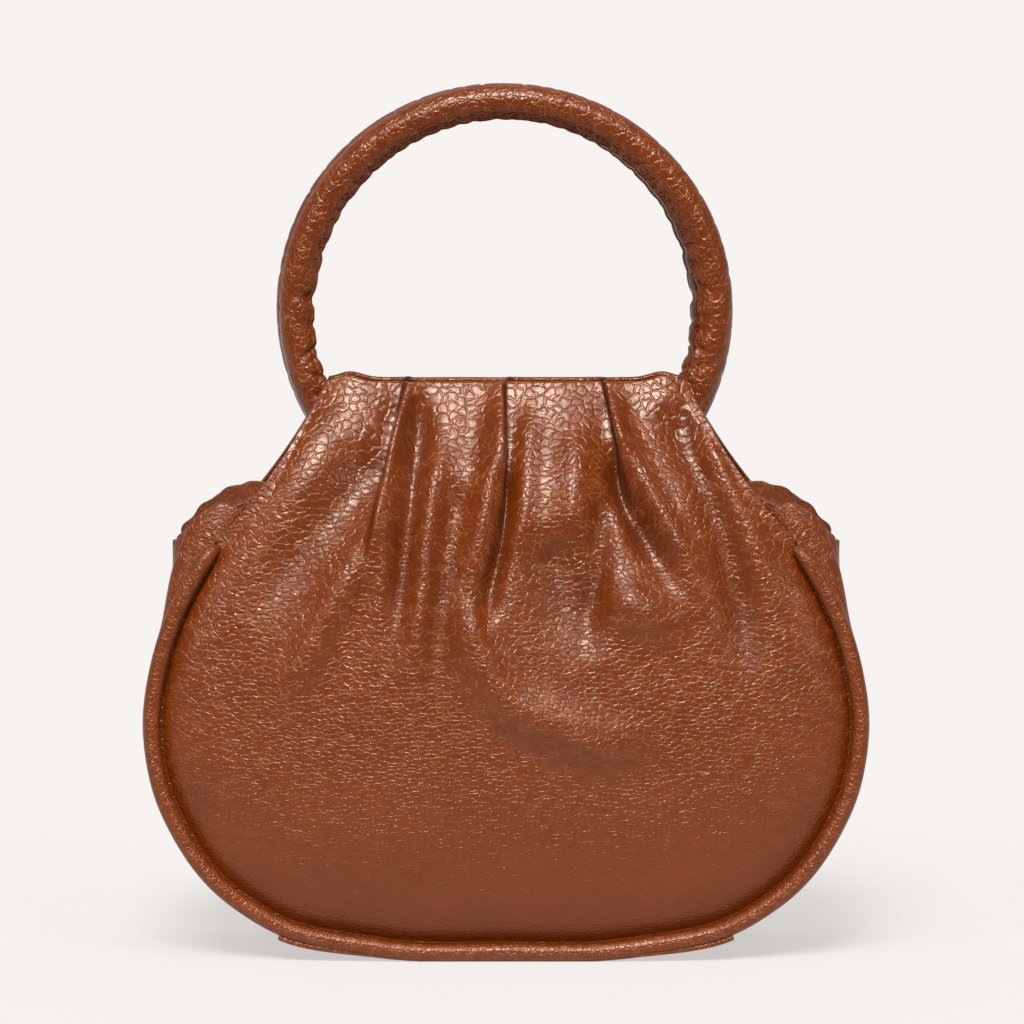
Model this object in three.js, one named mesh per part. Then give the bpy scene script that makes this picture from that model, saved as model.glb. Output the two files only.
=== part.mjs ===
// Ring handle bag: a small pleated leather handbag carried by two leather-wrapped rings.
// Millimetres, +X to the right, +Z up, front toward -Y, origin on the floor under the middle.

import * as THREE from 'three';
import { mergeVertices } from 'three/addons/utils/BufferGeometryUtils.js';

// Driving sizes of the body
const bodyWidth = 243;
const seamHeight = 144;
const hemHeight = 194;
const hemWidth = 121;
const seamDepth = 84;
const hemDepth = 48;
const leatherWall = 2;
const panelTurnIn = 1;
const sewnGap = 0.3;

// Driving sizes of the piping, the base and the gussets
const pipingDiameter = 5.8;
const pipingTuck = 10;
const baseHalfLength = 77;
const baseProud = 0.3;
const gussetOverlap = 12;
const gussetPuff = 14;
const gussetRise = 16;
const gussetWall = 1.8;
const puffStart = 0.62;
const gussetLift = 0.3;

// Driving sizes of the pleats and soft folds
const bellyDepth = 15;
const pleatRise = 3.2;
const pleatSink = 2.6;
const pleatCrest = 9;
const pleatStep = 1.3;
const foldRise = 3;
const foldWidth = 9;
const cornerRise = 2;
const hemPressFrom = 0.93;
const hemPressTo = 0.99;
const foldFade = 0.3;
const foldsFrom = 0.12;
const foldsTo = 0.8;
const foldsGone = 0.98;

// Driving sizes of the rings and the sleeves that hold them
const ringDiameter = 141.2;
const ringTube = 11.4;
const ringStand = 23;
const backRingShift = 1.8;
const backRingDrop = 0.5;
const sleeveWall = 1.5;
const sleeveHemDrop = 3;
const sleeveAngle = 56;
const sleeveFlap = 9;

// Facets
const bandColumns = [12, 8, 8, 12];
const lineSteps = 400;
const normalNudge = 0.004;
const pleatColumnsFrom = 0.6;
const pipingSteps = 46;
const pipingSides = 8;
const ringSteps = 44;
const ringSides = 10;
const baseSteps = 18;
const baseRows = 4;
const gussetSteps = 13;
const gussetSpacing = 1.4;
const sleeveSteps = 12;
const sleeveTurns = 6;

// Outer edge of the piping on the right half, from the bottom middle to its upper end:
// across is a share of half the body width, up a share of the seam height.
const outlineRows = [
  { across: 0, up: 0 },
  { across: 0.24, up: 0 },
  { across: 0.37, up: 0.012 },
  { across: 0.6, up: 0.05 },
  { across: 0.745, up: 0.118 },
  { across: 0.84, up: 0.19 },
  { across: 0.92, up: 0.29 },
  { across: 0.975, up: 0.4 },
  { across: 1, up: 0.545 },
  { across: 0.985, up: 0.665 },
  { across: 0.945, up: 0.785 },
  { across: 0.885, up: 0.893 },
  { across: 0.807, up: 1 },
];

// Guide lines up the panel. start is a share of the way from the bottom middle to the end
// of the seam; the other points are shares of half the body width and of the hem height,
// and hem is a share of half the hem width.
const guideRows = [
  { start: -1, lowAcross: -0.715, lowUp: 0.787, midAcross: -0.618, midUp: 0.868, hem: -1 },
  { start: -0.36, lowAcross: -0.43, lowUp: 0.55, midAcross: -0.345, midUp: 0.82, hem: -0.555 },
  { start: -0.04, lowAcross: -0.06, lowUp: 0.55, midAcross: -0.004, midUp: 0.8, hem: -0.01 },
  { start: 0.34, lowAcross: 0.41, lowUp: 0.58, midAcross: 0.32, midUp: 0.84, hem: 0.54 },
  { start: 1, lowAcross: 0.715, lowUp: 0.787, midAcross: 0.618, midUp: 0.868, hem: 1 },
];

// How far the panel stands out from the seam, up its middle and up its slanted edge:
// along is a share of the way from seam to hem, out a share of the belly depth.
const middleProfile = [
  { along: 0, out: 0 },
  { along: 0.03, out: 0.3 },
  { along: 0.08, out: 0.56 },
  { along: 0.18, out: 0.83 },
  { along: 0.34, out: 1 },
  { along: 0.5, out: 0.92 },
  { along: 0.65, out: 0.62 },
  { along: 0.8, out: -0.1 },
  { along: 0.92, out: -0.82 },
  { along: 1, out: -1 },
];
const edgeProfile = [
  { along: 0, out: 0 },
  { along: 0.15, out: 0.03 },
  { along: 0.4, out: -0.1 },
  { along: 0.7, out: -0.5 },
  { along: 0.9, out: -0.92 },
  { along: 1, out: -1 },
];
const fullnessPower = 3;

// Raised corners of the hem: place and width as shares of half the hem width
const cornerPlace = 0.12;
const cornerWidth = 0.09;
const cornerFrom = 0.9;

// Rows of facets up the panel, as shares of the way from seam to hem.
const panelRows = [0, 0.025, 0.06, 0.12, 0.2, 0.3, 0.4, 0.5, 0.59, 0.68, 0.76, 0.84, 0.91, 0.965, 1];

// Knife pleats pressed into the hem. guide is the row of the guide line that they follow,
// over the side whose band lies on top, full and end the shares of the hem height where
// the pleat is still whole and where it has run out.
const pleats = [
  { guide: 1, over: 1, full: 0.84, end: 0.56 },
  { guide: 2, over: -1, full: 0.82, end: 0.58 },
  { guide: 3, over: 1, full: 0.8, end: 0.66 },
];

// Soft folds below the pleats, from one end to the other, as shares of half the body width
// and of the hem height. width and rise are shares of the fold width and the fold rise.
const softFolds = [
  { across: -0.235, up: 0.92, toAcross: -0.3, toUp: 0.62, width: 0.55, rise: -0.7 },
  { across: -0.16, up: 0.85, toAcross: -0.2, toUp: 0.5, width: 0.9, rise: 0.55 },
  { across: -0.44, up: 0.83, toAcross: -0.62, toUp: 0.6, width: 1.3, rise: -0.9 },
  { across: -0.4, up: 0.7, toAcross: -0.6, toUp: 0.42, width: 1.4, rise: 0.6 },
  { across: -0.03, up: 0.78, toAcross: -0.08, toUp: 0.54, width: 0.8, rise: -0.8 },
  { across: 0.13, up: 0.8, toAcross: 0.08, toUp: 0.5, width: 1.2, rise: 0.5 },
  { across: 0.27, up: 0.76, toAcross: 0.2, toUp: 0.53, width: 0.9, rise: -0.8 },
  { across: 0.36, up: 0.73, toAcross: 0.34, toUp: 0.5, width: 1, rise: 1.1 },
  { across: 0.39, up: 0.78, toAcross: 0.52, toUp: 0.6, width: 0.7, rise: -1.2 },
  { across: 0.52, up: 0.82, toAcross: 0.7, toUp: 0.5, width: 1.2, rise: 0.6 },
];

// Gusset section from its front seam to its middle. depth and topDepth are shares of half the
// seam depth low down and at the hem; body and top are how far it stands out from the
// seam line, as shares of the gusset puff; rise lifts the hem, as a share of the gusset
// rise; power says how close to the hem the puff stays.
const gussetRows = [
  { depth: 1, topDepth: 0.88, body: -0.2, top: -0.55, rise: 0.3, power: 6 },
  { depth: 0.95, topDepth: 0.87, body: -0.1, top: -0.1, rise: 0.62, power: 5 },
  { depth: 0.84, topDepth: 0.8, body: 0.02, top: 0.3, rise: 0.5, power: 3 },
  { depth: 0.68, topDepth: 0.66, body: 0.03, top: 0.78, rise: 0.12, power: 3 },
  { depth: 0.48, topDepth: 0.5, body: 0.04, top: 1, rise: -0.06, power: 3 },
  { depth: 0.24, topDepth: 0.26, body: 0.03, top: -0.2, rise: 0.55, power: 2.6 },
  { depth: 0, topDepth: 0, body: 0.02, top: -1.35, rise: 1, power: 2.2 },
];

const leatherColor = 0x96502b;
const leatherRoughness = 0.45;

// Sizes that follow from the driving sizes
const halfWidth = bodyWidth / 2;
const pipingRadius = pipingDiameter / 2;
const ringRadius = ringDiameter / 2;
const tubeRadius = ringTube / 2;
const ringHeight = hemHeight + ringStand;
const panelInset = pipingDiameter + 2 * sewnGap;
const coveredInset = pipingRadius;
const panelSeamDepth = seamDepth / 2 - pipingRadius + panelTurnIn;
const gussetSeamDepth = seamDepth / 2 - pipingRadius - sewnGap;
const ringClearance = 2 * sewnGap;
const ringDepth = hemDepth / 2 - leatherWall - sewnGap - sleeveWall - ringClearance - tubeRadius;

const leather = new THREE.MeshStandardMaterial({
  color: leatherColor,
  roughness: leatherRoughness,
  metalness: 0,
});

// Number helpers
function mix(a, b, share) {
  return a + (b - a) * share;
}

function smooth(low, high, value) {
  return THREE.MathUtils.smoothstep(value, low, high);
}

function bump(offset, width) {
  return Math.exp(-((offset / width) ** 2));
}

// Smooth curve through the rows of a profile table, read at one place
function readProfile(rows, place) {
  let k = 0;
  while (k < rows.length - 2 && place > rows[k + 1].along) {
    k += 1;
  }
  const slope = (i) => {
    const before = rows[Math.max(i - 1, 0)];
    const after = rows[Math.min(i + 1, rows.length - 1)];
    return (after.out - before.out) / (after.along - before.along);
  };
  const span = rows[k + 1].along - rows[k].along;
  const t = (place - rows[k].along) / span;
  const lean = t * (1 - t) * ((1 - t) * slope(k) - t * slope(k + 1));
  return mix(rows[k].out, rows[k + 1].out, smooth(0, 1, t)) + span * lean;
}

// Turns every face outward and merges the corners that lie on each other.
function facingOut(geometry) {
  geometry.deleteAttribute('normal');
  geometry.deleteAttribute('uv');
  const merged = mergeVertices(geometry);
  const index = merged.index.array;
  const corner = (k) => new THREE.Vector3().fromBufferAttribute(merged.attributes.position, index[k]);
  let volume = 0;
  for (let k = 0; k < index.length; k += 3) {
    volume += corner(k).dot(corner(k + 1).cross(corner(k + 2)));
  }
  if (volume < 0) {
    index.reverse();
  }
  merged.computeVertexNormals();
  return merged;
}

// Closed sheet of leather between an outer and an inner surface over one grid
function leatherSheet(columns, rows, outerPoint, innerPoint) {
  const positions = [];
  for (const surface of [outerPoint, innerPoint]) {
    for (let i = 0; i <= columns; i += 1) {
      for (let j = 0; j <= rows; j += 1) {
        positions.push(...surface(i, j).toArray());
      }
    }
  }
  const outer = (i, j) => i * (rows + 1) + j;
  const inner = (i, j) => (columns + 1) * (rows + 1) + outer(i, j);
  const faces = [];
  const quad = (a, b, c, d) => faces.push(a, b, c, a, c, d);
  for (let i = 0; i < columns; i += 1) {
    for (let j = 0; j < rows; j += 1) {
      quad(outer(i, j), outer(i + 1, j), outer(i + 1, j + 1), outer(i, j + 1));
      quad(inner(i, j + 1), inner(i + 1, j + 1), inner(i + 1, j), inner(i, j));
    }
    quad(inner(i, 0), inner(i + 1, 0), outer(i + 1, 0), outer(i, 0));
    quad(outer(i, rows), outer(i + 1, rows), inner(i + 1, rows), inner(i, rows));
  }
  for (let j = 0; j < rows; j += 1) {
    quad(outer(0, j), outer(0, j + 1), inner(0, j + 1), inner(0, j));
    quad(inner(columns, j), inner(columns, j + 1), outer(columns, j + 1), outer(columns, j));
  }
  const geometry = new THREE.BufferGeometry();
  geometry.setAttribute('position', new THREE.Float32BufferAttribute(positions, 3));
  geometry.setIndex(faces);
  return facingOut(geometry);
}

// Seam line: the outer edge of the piping, seen from the front
const rightOutline = outlineRows.map((row) => new THREE.Vector3(
  row.across * halfWidth, 0, sewnGap + row.up * seamHeight,
));
const leftOutline = rightOutline.slice(1).reverse().map((point) => point.clone().setX(-point.x));
const seamLine = new THREE.CatmullRomCurve3([...leftOutline, ...rightOutline], false, 'centripetal');
seamLine.arcLengthDivisions = lineSteps;
const seamHalfLength = seamLine.getLength() / 2;

// Direction out of the seam line and a point inset from it; share is -1 at the left end of
// the seam, 0 at the bottom middle and 1 at its right end.
function seamOut(share) {
  const tangent = seamLine.getTangentAt((share + 1) / 2);
  return new THREE.Vector3(tangent.z, 0, -tangent.x);
}

function seamPoint(share, inset) {
  return seamLine.getPointAt((share + 1) / 2).addScaledVector(seamOut(share), -inset);
}

// Sewn edge of the panel, which covers the tucked end of the piping
function panelSeam(share) {
  const covered = 1 - pipingTuck / seamHalfLength;
  return seamPoint(share, mix(panelInset, coveredInset, smooth(covered, 1, Math.abs(share))));
}

// Guide lines up the panel
const guides = guideRows.map((row) => {
  const curve = new THREE.CatmullRomCurve3([
    panelSeam(row.start),
    new THREE.Vector3(row.lowAcross * halfWidth, 0, row.lowUp * hemHeight),
    new THREE.Vector3(row.midAcross * halfWidth, 0, row.midUp * hemHeight),
    new THREE.Vector3(row.hem * hemWidth / 2, 0, hemHeight),
  ], false, 'centripetal');
  curve.arcLengthDivisions = lineSteps;
  return { start: row.start, across: row.hem, curve };
});

// Place on the panel seen from the front: band and share pick the column, along the height.
function panelPlace(band, share, along) {
  const left = guides[band];
  const right = guides[band + 1];
  const point = left.curve.getPointAt(along).lerp(right.curve.getPointAt(along), share);
  const foot = left.curve.getPointAt(0).lerp(right.curve.getPointAt(0), share);
  const seam = panelSeam(mix(left.start, right.start, share));
  point.addScaledVector(seam.sub(foot), 1 - along);
  const across = mix(left.across, right.across, share);
  const corner = bump((1 - Math.abs(across)) - cornerPlace, cornerWidth);
  point.z += cornerRise * corner * smooth(cornerFrom, 1, along);
  return { point, across };
}

// Smooth pillow of the panel, before its pleats and folds
function panelPillow(band, share, along) {
  const { point, across } = panelPlace(band, share, along);
  const fullness = 1 - Math.abs(across) ** fullnessPower;
  const out = mix(readProfile(edgeProfile, along), readProfile(middleProfile, along), fullness);
  const reach = out < 0 ? panelSeamDepth - hemDepth / 2 : bellyDepth;
  return point.setY(-panelSeamDepth - out * reach);
}

function pillowNormal(band, share, along) {
  const lowShare = Math.max(share - normalNudge, 0);
  const highShare = Math.min(share + normalNudge, 1);
  const lowAlong = Math.max(along - normalNudge, 0);
  const highAlong = Math.min(along + normalNudge, 1);
  const across = panelPillow(band, highShare, along).sub(panelPillow(band, lowShare, along));
  const up = panelPillow(band, share, highAlong).sub(panelPillow(band, share, lowAlong));
  return across.cross(up).normalize();
}

// Height of one knife pleat: a rolled edge on the top band, a pocket beside it
function pleatHeight(pleat, band, point, along) {
  const line = guides[pleat.guide].curve.getPointAt(along);
  const side = band >= pleat.guide ? 1 : -1;
  const offset = Math.hypot(point.x - line.x, point.z - line.z) * side * pleat.over;
  const up = point.z / hemHeight;
  const onTop = smooth(-pleatStep, pleatStep, offset);
  const pressed = smooth(hemPressFrom, hemPressTo, up);
  const height = mix(-pleatSink * (1 - pressed), pleatRise, onTop) * bump(offset, pleatCrest);
  return height * smooth(pleat.end, pleat.full, up);
}

function softFoldHeight(fold, point) {
  const from = new THREE.Vector2(fold.across * halfWidth, fold.up * hemHeight);
  const line = new THREE.Vector2(fold.toAcross * halfWidth, fold.toUp * hemHeight).sub(from);
  const offset = new THREE.Vector2(point.x, point.z).sub(from);
  const share = offset.dot(line) / line.lengthSq();
  const side = offset.cross(line) / line.length();
  const ends = smooth(-foldFade, foldFade, share) * (1 - smooth(1 - foldFade, 1 + foldFade, share));
  return fold.rise * foldRise * ends * bump(side, fold.width * foldWidth);
}

function panelRelief(band, point, along) {
  const pleated = pleats.map((pleat) => pleatHeight(pleat, band, point, along));
  const folded = softFolds.map((fold) => softFoldHeight(fold, point));
  const sewn = smooth(0, foldsFrom, along) * (1 - smooth(foldsTo, foldsGone, along));
  const sum = (heights) => heights.reduce((total, height) => total + height, 0);
  return sum(pleated) + sum(folded) * sewn;
}

// Front panel: four bands between the slanted edges and the three pleats
function makePanel() {
  const places = bandColumns.flatMap((count, band) => (
    Array.from({ length: count }, (_, k) => ({ band, even: k / count }))
  ));
  places.push({ band: bandColumns.length - 1, even: 1 });
  const surface = (wall) => (i, j) => {
    const { band, even } = places[i];
    const along = panelRows[j];
    const nearPleats = (1 - Math.cos(Math.PI * even)) / 2;
    const share = mix(even, nearPleats, smooth(0, pleatColumnsFrom, along));
    const point = panelPillow(band, share, along);
    const height = panelRelief(band, point, along);
    return point.addScaledVector(pillowNormal(band, share, along), height - wall);
  };
  return leatherSheet(places.length - 1, panelRows.length - 1, surface(0), surface(leatherWall));
}

// Piping: a covered cord sewn all along the seam
function makePiping() {
  const reach = 1 - pipingTuck / seamHalfLength;
  const points = [];
  for (let k = 0; k <= pipingSteps; k += 1) {
    points.push(seamPoint(mix(-reach, reach, k / pipingSteps), pipingRadius).setY(-seamDepth / 2));
  }
  const section = [];
  for (let k = 0; k < pipingSides; k += 1) {
    const angle = 2 * Math.PI * (k + 0.5) / pipingSides;
    section.push(new THREE.Vector2(Math.cos(angle), Math.sin(angle)).multiplyScalar(pipingRadius));
  }
  return facingOut(new THREE.ExtrudeGeometry(new THREE.Shape(section), {
    steps: pipingSteps,
    bevelEnabled: false,
    extrudePath: new THREE.CatmullRomCurve3(points),
  }));
}

// Ring handle, standing upright behind the hem of its panel
function makeRing() {
  const ring = new THREE.TorusGeometry(ringRadius, tubeRadius, ringSides, ringSteps);
  ring.rotateX(Math.PI / 2);
  ring.translate(0, -ringDepth, ringHeight);
  return facingOut(ring);
}

// Ring sleeve: leather sewn inside the hem that runs down, round the lower arc of the ring
// and up behind it
function makeSleeve() {
  const hemDrop = ringStand + sleeveHemDrop;
  const surface = (reach) => (i, j) => {
    const angle = THREE.MathUtils.degToRad(mix(-sleeveAngle, sleeveAngle, i / sleeveSteps));
    const turn = Math.PI * THREE.MathUtils.clamp((j - 1) / sleeveTurns, 0, 1);
    let radial = ringRadius + reach * Math.sin(turn);
    if (j === 0) {
      radial = hemDrop / Math.cos(angle);
    }
    if (j === sleeveTurns + 2) {
      radial = ringRadius - sleeveFlap;
    }
    const depth = ringDepth + reach * Math.cos(turn);
    return new THREE.Vector3(radial * Math.sin(angle), -depth, ringHeight - radial * Math.cos(angle));
  };
  const inside = tubeRadius + ringClearance;
  return leatherSheet(sleeveSteps, sleeveTurns + 2, surface(inside + sleeveWall), surface(inside));
}

// Base panel: flat where the bag stands, curving up under both gusset ends
function makeBase() {
  const reach = baseHalfLength / seamHalfLength;
  const surface = (inset, floor) => (i, j) => {
    const point = seamPoint(mix(-reach, reach, i / baseSteps), inset);
    point.z = Math.max(point.z, floor);
    return point.setY(mix(-gussetSeamDepth, gussetSeamDepth, j / baseRows));
  };
  const inside = leatherWall - baseProud;
  return leatherSheet(baseSteps, baseRows, surface(-baseProud, 0), surface(inside, leatherWall));
}

// Left gusset: pinched in beside both panels, puffed out and folded inward at its hem
function makeGusset() {
  const start = (baseHalfLength - gussetOverlap) / seamHalfLength;
  const last = gussetRows.length - 1;
  const middleLine = (i, j) => {
    const t = 1 - (1 - i / gussetSteps) ** gussetSpacing;
    const row = gussetRows[last - Math.abs(j - last)];
    const side = j <= last ? -1 : 1;
    const share = -mix(start, 1, t);
    const up = THREE.MathUtils.clamp((t - puffStart) / (1 - puffStart), 0, 1) ** row.power;
    const underBase = baseProud - leatherWall - sewnGap;
    const out = mix(underBase, row.body * gussetPuff, smooth(0, gussetLift, t));
    const point = seamLine.getPointAt((share + 1) / 2).addScaledVector(seamOut(share), out);
    point.x -= row.top * gussetPuff * up;
    point.z += row.rise * gussetRise * up;
    return point.setY(side * gussetSeamDepth * mix(row.depth, row.topDepth, up));
  };
  const inward = (i, j) => {
    const along = middleLine(Math.min(i + 1, gussetSteps), j).sub(middleLine(Math.max(i - 1, 0), j));
    const around = middleLine(i, Math.min(j + 1, 2 * last)).sub(middleLine(i, Math.max(j - 1, 0)));
    return middleLine(i, j).addScaledVector(around.cross(along).normalize(), gussetWall);
  };
  return leatherSheet(gussetSteps, 2 * last, middleLine, inward);
}

function addPiece(group, name, geometry) {
  const piece = new THREE.Mesh(geometry, leather);
  piece.name = name;
  group.add(piece);
  return piece;
}

// The back half is the front half turned round, with its ring sitting a little lower.
function makeHalf(side) {
  const half = new THREE.Group();
  addPiece(half, `${side}_panel`, makePanel());
  addPiece(half, `${side}_piping`, makePiping());
  const ringGroup = new THREE.Group();
  addPiece(ringGroup, `${side}_ring_handle`, makeRing());
  addPiece(ringGroup, `${side}_ring_sleeve`, makeSleeve());
  half.add(ringGroup);
  if (side === 'back') {
    half.rotation.z = Math.PI;
    ringGroup.position.set(backRingShift, 0, -backRingDrop);
  }
  return half;
}

const bag = new THREE.Group();
bag.add(makeHalf('front'), makeHalf('back'));
addPiece(bag, 'base_panel', makeBase());
addPiece(bag, 'gusset_left', makeGusset());
addPiece(bag, 'gusset_right', makeGusset()).rotation.z = Math.PI;

export default bag;
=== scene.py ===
"""Looks of the ring handle bag: pleated milled-leather panels, piping, gussets and wrapped rings.

Lengths inside the shape functions are millimetres; the meshes are in metres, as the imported
model is.
"""

import math

import bmesh
import bpy
import numpy as np
from mathutils import Matrix, Vector


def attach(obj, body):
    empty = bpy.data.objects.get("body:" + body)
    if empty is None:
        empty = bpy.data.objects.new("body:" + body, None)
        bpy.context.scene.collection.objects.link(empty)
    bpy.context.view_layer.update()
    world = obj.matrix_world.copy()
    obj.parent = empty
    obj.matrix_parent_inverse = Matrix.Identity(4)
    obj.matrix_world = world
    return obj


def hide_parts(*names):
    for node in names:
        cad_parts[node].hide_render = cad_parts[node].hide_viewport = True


bl_info = {
    "name": "Ring Handle Bag",
    "version": (1, 0, 0),
    "blender": (4, 5, 0),
    "location": "3D View > Sidebar > Ring Bag",
    "description": "Builds the leather pieces of a ring handle bag over its packed model",
    "category": "Add Mesh",
}

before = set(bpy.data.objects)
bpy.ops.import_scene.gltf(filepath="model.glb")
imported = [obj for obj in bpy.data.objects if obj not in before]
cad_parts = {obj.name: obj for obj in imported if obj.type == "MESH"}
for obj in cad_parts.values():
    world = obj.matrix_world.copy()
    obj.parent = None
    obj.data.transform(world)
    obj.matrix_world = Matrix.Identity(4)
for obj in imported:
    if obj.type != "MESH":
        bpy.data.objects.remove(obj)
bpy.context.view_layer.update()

MM = 0.001

# Sizes of the body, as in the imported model
BODY_WIDTH = 243
SEAM_HEIGHT = 144
HEM_HEIGHT = 194
HEM_WIDTH = 121
SEAM_DEPTH = 84
HEM_DEPTH = 48
LEATHER_WALL = 2
PANEL_TURN_IN = 1
SEWN_GAP = 0.3
BELLY_DEPTH = 15
FULLNESS_POWER = 3

# Sizes of the piping, the base and the gussets
PIPING_DIAMETER = 5.8
PIPING_TUCK = 10
PIPING_SHORT = 2.5
PIPING_TAPER = 9
PIPING_DIVE = 2.6
PIPING_LEAN = 0.8
PIPING_STEPS = 700
PIPING_SIDES = 20
BASE_HALF_LENGTH = 77
BASE_PROUD = 0.3
GUSSET_OVERLAP = 12
GUSSET_PUFF = 14
GUSSET_RISE = 16
GUSSET_WALL = 1.8
PUFF_START = 0.79
GUSSET_LIFT = 0.3

# Sizes of the pleats, the folds and the hem corners, and the panels' mesh: columns in each
# band between two guide lines, and rows
PANEL_COLUMNS = 28
PANEL_ROWS = 124
PLEAT_RISE = 3.2
PLEAT_SINK = 1.8
PLEAT_CREST = 6
PLEAT_ROLL = 1.5
PLEAT_OPENS = 4
PLEAT_LINE = 0.8
BAND_FULL = 1.4
BAND_FROM = (0.3, 0.7)
HOLLOW_FULL = 14
HOLLOW_MOST = 0.35
DRAWN_SMOOTH = 0.85
SMOOTH_BELOW = (25, 105)
FOLD_START = 14
FOLD_END = 34
NORMAL_PASSES = 30
FOLD_EDGE = 8
FOLDS_GONE = (0.9, 1)
HEM_PRESS = (0.93, 0.99)
HEM_LEVEL = (0.86, 1)
BACK_HEM_DROP = 1.4
CORNER_RISE = 2
CORNER_PLACE = 0.12
CORNER_WIDTH = 0.09
CORNER_FROM = 0.9

# Sizes of the rings and their sleeves
RING_RADIUS = 70.6
RING_TUBE = 5.7
RING_STAND = 23
WRAP_SWELL = 0.4
WRAP_GAP = 1.6
WRAP_LIP = 0.9
WRINKLE_PITCH = 4.5
RING_STEPS = 740
RING_SIDES = 72
BACK_RING_SHIFT = 1.8
BACK_RING_DROP = 0.5
SLEEVE_WALL = 1.5
SLEEVE_HEM_DROP = 3
SLEEVE_ANGLE = 56
SLEEVE_FLAP = 9

# Sizes that follow
HALF_WIDTH = BODY_WIDTH / 2
PIPING_RADIUS = PIPING_DIAMETER / 2
RING_HEIGHT = HEM_HEIGHT + RING_STAND
PANEL_INSET = PIPING_DIAMETER + 2 * SEWN_GAP
PANEL_SEAM_DEPTH = SEAM_DEPTH / 2 - PIPING_RADIUS + PANEL_TURN_IN
GUSSET_SEAM_DEPTH = SEAM_DEPTH / 2 - PIPING_RADIUS - SEWN_GAP
RING_CLEARANCE = 2 * SEWN_GAP
BASE_DEPTH = SEAM_DEPTH / 2 + 1.5
BASE_END_PROUD = 1.5
FLANGE_INSET = 3.6
FLANGE_DROP = 1.4
FLANGE_ROWS = 8
RING_DEPTH = HEM_DEPTH / 2 - LEATHER_WALL - SEWN_GAP - SLEEVE_WALL - RING_CLEARANCE - RING_TUBE

# Outer edge of the piping on the right half: (across, up) as shares of half the width and of
# the seam height.
OUTLINE = (
    (0, 0), (0.24, 0), (0.37, 0.012), (0.6, 0.05), (0.745, 0.118), (0.84, 0.19), (0.92, 0.29),
    (0.975, 0.4), (1, 0.545), (0.985, 0.665), (0.945, 0.785), (0.885, 0.893), (0.807, 1),
)

# Guide lines up the panel: start on the seam, (across, up) of two points, share of the hem
GUIDES = (
    (-1, (-0.715, 0.787), (-0.618, 0.868), -1),
    (-0.36, (-0.43, 0.55), (-0.345, 0.82), -0.555),
    (-0.04, (-0.06, 0.55), (-0.004, 0.8), -0.01),
    (0.34, (0.41, 0.58), (0.32, 0.84), 0.54),
    (1, (0.715, 0.787), (0.618, 0.868), 1),
)

# How far the panel stands out, up its middle and up its slanted edge: (along, out)
MIDDLE_PROFILE = (
    (0, 0), (0.03, 0.3), (0.08, 0.56), (0.18, 0.83), (0.34, 1), (0.5, 0.95), (0.65, 0.72),
    (0.8, 0.22), (0.92, -0.52), (1, -1),
)
EDGE_PROFILE = ((0, 0), (0.15, 0.03), (0.4, -0.1), (0.7, -0.5), (0.9, -0.92), (1, -1))

# Knife pleats: guide line, side whose band lies on top, heights where it is whole and gone,
# and how full the roll along the top band's edge is
PLEATS = (
    (1, 1, 0.88, 0.6, 1),
    (2, -1, 0.86, 0.64, 0.3),
    (3, 1, 0.88, 0.7, 0.6),
)

# Soft folds: width and rise in millimetres, and places (across, up) along each
SOFT_FOLDS = (
    (3, 2.4, (
        (-0.274, 1.058), (-0.283, 0.887), (-0.313, 0.766), (-0.335, 0.663), (-0.357, 0.543),
    )),
    (4.2, -4.4, (
        (-0.233, 1.058), (-0.247, 0.887), (-0.269, 0.766), (-0.285, 0.646), (-0.31, 0.509),
    )),
    (9, -3.6, ((-0.351, 0.911), (-0.428, 0.818), (-0.554, 0.723), (-0.686, 0.56))),
    (6, 3.6, (
        (-0.307, 0.835), (-0.368, 0.732), (-0.45, 0.646), (-0.551, 0.526), (-0.647, 0.388),
    )),
    (4.6, 2.2, ((-0.187, 0.904), (-0.225, 0.698), (-0.244, 0.56), (-0.263, 0.405))),
    (5, -2.8, ((-0.126, 0.852), (-0.162, 0.698), (-0.181, 0.595), (-0.198, 0.423))),
    (4.5, 3.4, (
        (-0.022, 1.058), (-0.03, 0.887), (-0.049, 0.801), (-0.077, 0.715), (-0.096, 0.595),
    )),
    (8, 5, (
        (-0.093, 0.646), (-0.077, 0.543), (0.005, 0.457), (0.134, 0.416), (0.272, 0.385),
        (0.444, 0.419),
    )),
    (3.2, -4.8, (
        (0, 0.878), (-0.003, 0.801), (-0.016, 0.723), (-0.044, 0.646), (-0.058, 0.526),
    )),
    (4, 2, ((0.066, 0.973), (0.044, 0.801), (0.022, 0.698), (0.027, 0.595))),
    (11, -5, ((0.107, 0.766), (0.165, 0.629), (0.236, 0.512))),
    (5, 2, ((0.195, 0.938), (0.184, 0.801), (0.17, 0.68))),
    (4, -3, ((0.274, 0.835), (0.252, 0.698), (0.23, 0.595), (0.209, 0.491))),
    (4, -6, ((0.291, 0.904), (0.31, 0.844), (0.34, 0.792), (0.395, 0.723), (0.488, 0.625))),
    (3.8, 3.2, (
        (0.274, 1.058), (0.324, 0.904), (0.379, 0.826), (0.439, 0.758), (0.497, 0.689),
        (0.527, 0.577),
    )),
    (8, 5, ((0.241, 0.649), (0.373, 0.612), (0.516, 0.56))),
    (7, -4.6, ((0.428, 0.973), (0.524, 0.861), (0.598, 0.758), (0.642, 0.629), (0.664, 0.457))),
    (5, 2.6, ((0.532, 0.938), (0.615, 0.801), (0.68, 0.698), (0.73, 0.56))),
)

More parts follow.
